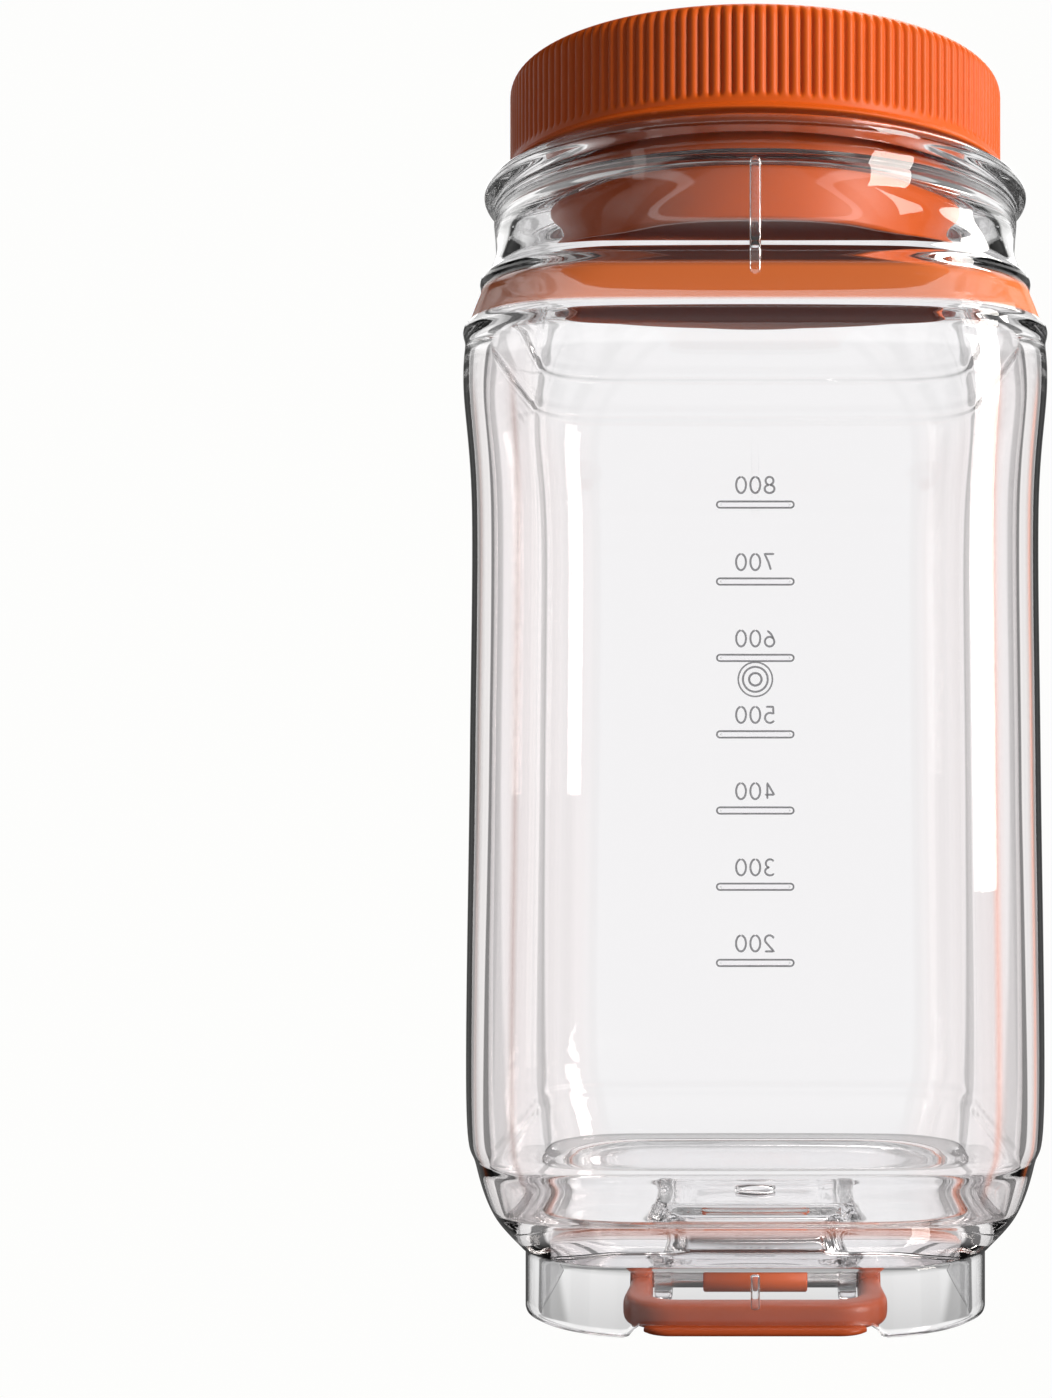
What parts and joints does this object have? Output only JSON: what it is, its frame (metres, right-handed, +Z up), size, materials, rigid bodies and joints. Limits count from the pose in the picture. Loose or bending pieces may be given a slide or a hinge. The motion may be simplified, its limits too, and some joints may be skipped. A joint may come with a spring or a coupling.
{
  "type": "wide-mouth drinking bottle",
  "caption": "Clear rigid drinking bottle with a rounded-square body, round dome and flange, ribbed screw cap with a plug skirt, and a folding carry loop under the base.",
  "frame": {"origin": "on the bottle's axis, at the bottom of the foot", "axes": "+Z up along the bottle's axis, -Y towards the front, where the carry loop's bar lies when folded"},
  "size_m": [0.0932, 0.0932, 0.2035],
  "materials": {
    "clear_body": "clear polished copolyester",
    "clear_base": "clear polished copolyester",
    "loop_orange": "satin moulded polypropylene",
    "pin_steel": "drawn stainless rod",
    "sleeve_orange": "satin moulded polypropylene",
    "cap_orange": "satin moulded polypropylene",
    "liner_orange": "satin moulded polypropylene",
    "gasket_silicone": "translucent white silicone"
  },
  "bodies": {
    "bottle": {"bottle_body": "clear_body", "base_cup": "clear_base", "loop_pin": "pin_steel", "pin_sleeve": "sleeve_orange"},
    "cap_lift": {"cap_gasket": "gasket_silicone"},
    "cap": {"cap_shell": "cap_orange", "cap_liner": "liner_orange"},
    "loop": {"carry_loop": "loop_orange"}
  },
  "joints": [
    {"name": "cap_rise", "type": "slide", "parent": "bottle", "child": "cap_lift", "axis": [0, 0, 1], "range_m": [0, 0.0361]},
    {"name": "cap_turn", "type": "hinge", "parent": "cap_lift", "child": "cap", "pos_m": [0, 0, 0.1865], "axis": [0, 0, 1], "range_deg": [0, 1080]},
    {"name": "loop_swing", "type": "hinge", "parent": "bottle", "child": "loop", "pos_m": [0, -0.014, 0.0034], "axis": [1, 0, 0], "range_deg": [0, 100]}
  ],
  "couplings": [
    {"joint": "cap_rise", "follows": "cap_turn", "m_per_rad": 0.0019099}
  ]
}
